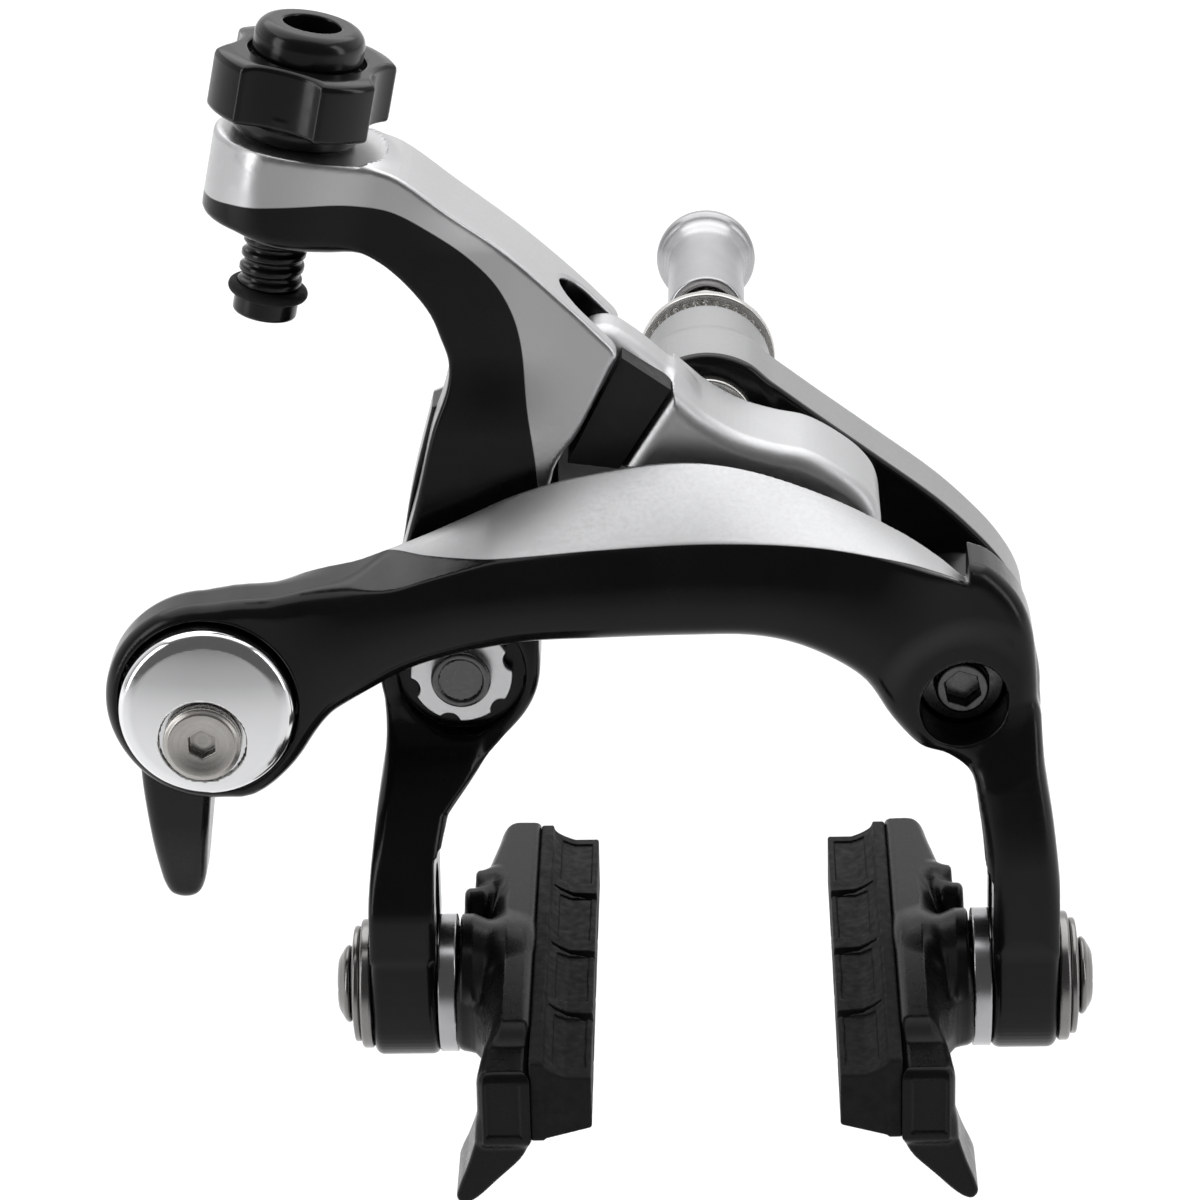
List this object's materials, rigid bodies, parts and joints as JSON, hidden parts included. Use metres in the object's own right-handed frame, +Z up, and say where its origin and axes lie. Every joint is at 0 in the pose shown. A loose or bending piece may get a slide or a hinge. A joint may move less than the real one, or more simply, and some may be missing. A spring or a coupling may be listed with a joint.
{
  "type": "rim brake caliper",
  "caption": "Dual pivot road rim brake caliper with quick release, cable adjuster, cartridge shoes and a sleeve nut fork fixing.",
  "frame": {"origin": "on the fork bolt axis, at the rear face of the toothed ring where it meets the fork crown", "axes": "+Z up, +Y towards the fork along the fork bolt, +X to the right seen from the front of the caliper"},
  "size_m": [0.0952, 0.0946, 0.1079],
  "materials": {
    "bracket_grey": "bead-blasted satin anodised",
    "steel": "turned, lightly polished",
    "nut_satin": "fine satin turned",
    "bolt_black": "black oxide",
    "ring_silver": "satin",
    "arm_black": "gloss black over cold forged aluminium",
    "arm_silver": "satin silver with gloss black underside",
    "lever_silver": "satin silver",
    "block_black": "fine matt",
    "disc_polished": "polished dome",
    "bolt_steel": "turned stainless",
    "washer_steel": "plated",
    "spacer_silver": "turned satin",
    "holder_black": "semi-gloss black",
    "pad_rubber": "matt moulded rubber",
    "adjuster_black": "gloss black anodised",
    "knob_black": "gloss black",
    "o_ring_rubber": "matt rubber"
  },
  "bodies": {
    "bracket": {"bracket": "bracket_grey", "fork_bolt": "steel", "toothed_ring": "steel", "left_pivot_bolt": "bolt_black", "left_lock_ring": "ring_silver", "left_collar": "steel", "right_pivot_bolt": "bolt_black", "right_collar": "steel", "return_spring": "steel"},
    "fork_nut": {"fork_nut": "nut_satin"},
    "c_arm": {"c_arm": "arm_black", "c_arm_bush": "steel", "roller_pin": "steel"},
    "roller": {"roller": "steel"},
    "quick_release": {"qr_cam": "disc_polished", "qr_lever": "arm_black", "cable_clamp": "steel"},
    "cable_bolt": {"cable_bolt": "bolt_steel"},
    "y_arm": {"y_arm": "arm_silver", "y_arm_bush": "steel"},
    "sync_lever": {"sync_lever": "lever_silver", "lever_bush": "steel", "lever_block": "block_black"},
    "centring_screw": {"centring_screw": "steel"},
    "adjuster_barrel": {"adjuster_barrel": "adjuster_black", "barrel_o_ring": "o_ring_rubber"},
    "adjuster_knob": {"adjuster_knob": "knob_black"},
    "left_carrier": {"left_dished_washer": "washer_steel", "left_flat_washer": "washer_steel", "left_spacer": "spacer_silver"},
    "left_shoe": {"left_bolt": "bolt_steel", "left_holder": "holder_black", "left_pad": "pad_rubber", "left_pad_screw": "steel"},
    "right_carrier": {"right_dished_washer": "washer_steel", "right_flat_washer": "washer_steel", "right_spacer": "spacer_silver"},
    "right_shoe": {"right_bolt": "bolt_steel", "right_holder": "holder_black", "right_pad": "pad_rubber", "right_pad_screw": "steel"}
  },
  "joints": [
    {"name": "fork_nut_slide", "type": "slide", "parent": "bracket", "child": "fork_nut", "axis": [0, 1, 0], "range_m": [0, 0.045]},
    {"name": "c_arm_pivot", "type": "hinge", "parent": "bracket", "child": "c_arm", "pos_m": [0.0242, -0.03, -0.0206], "axis": [0, 1, 0], "range_deg": [0, 9], "stiffness_Nm_per_rad": 0.5, "springref_deg": -20.05},
    {"name": "y_arm_pivot", "type": "hinge", "parent": "bracket", "child": "y_arm", "pos_m": [-0.0242, -0.03, -0.0206], "axis": [0, 1, 0], "range_deg": [-9, 0], "stiffness_Nm_per_rad": 0.5, "springref_deg": 20.05},
    {"name": "roller_spin", "type": "hinge", "parent": "c_arm", "child": "roller", "pos_m": [0, -0.029, -0.0084], "axis": [0, 1, 0], "continuous": true},
    {"name": "quick_release_turn", "type": "hinge", "parent": "c_arm", "child": "quick_release", "pos_m": [-0.048, -0.038, -0.0192], "axis": [0, 1, 0], "range_deg": [0, 100]},
    {"name": "cable_bolt_turn", "type": "hinge", "parent": "quick_release", "child": "cable_bolt", "pos_m": [-0.0484, -0.045, -0.0217], "axis": [0, 1, 0], "continuous": true},
    {"name": "lever_centring", "type": "hinge", "parent": "y_arm", "child": "sync_lever", "pos_m": [-0.0242, -0.023, -0.0206], "axis": [0, 1, 0], "range_deg": [-0.6, 0.6]},
    {"name": "centring_screw_turn", "type": "hinge", "parent": "sync_lever", "child": "centring_screw", "pos_m": [0.0124, -0.032, -0.0048], "axis": [0, 1, 0], "continuous": true},
    {"name": "adjuster_knob_turn", "type": "hinge", "parent": "y_arm", "child": "adjuster_knob", "pos_m": [-0.03789, -0.0266, 0.03614], "axis": [0.2011, 0, 0.9796], "range_deg": [0, 1081]},
    {"name": "adjuster_barrel_slide", "type": "slide", "parent": "y_arm", "child": "adjuster_barrel", "axis": [0.2011, 0, 0.9796], "range_m": [0, 0.003]},
    {"name": "left_shoe_height", "type": "slide", "parent": "y_arm", "child": "left_carrier", "axis": [0, 0, 1], "range_m": [0, 0.0092]},
    {"name": "left_shoe_angle", "type": "hinge", "parent": "left_carrier", "child": "left_shoe", "pos_m": [-0.027, -0.038, -0.0515], "axis": [1, 0, 0], "range_deg": [-15, 15]},
    {"name": "right_shoe_height", "type": "slide", "parent": "c_arm", "child": "right_carrier", "axis": [0, 0, 1], "range_m": [0, 0.0092]},
    {"name": "right_shoe_angle", "type": "hinge", "parent": "right_carrier", "child": "right_shoe", "pos_m": [0.027, -0.038, -0.0515], "axis": [1, 0, 0], "range_deg": [-15, 15]}
  ],
  "couplings": [
    {"joint": "y_arm_pivot", "follows": "c_arm_pivot", "ratio": -1},
    {"joint": "adjuster_knob_turn", "follows": "adjuster_barrel_slide", "rad_per_m": 6283.2}
  ]
}
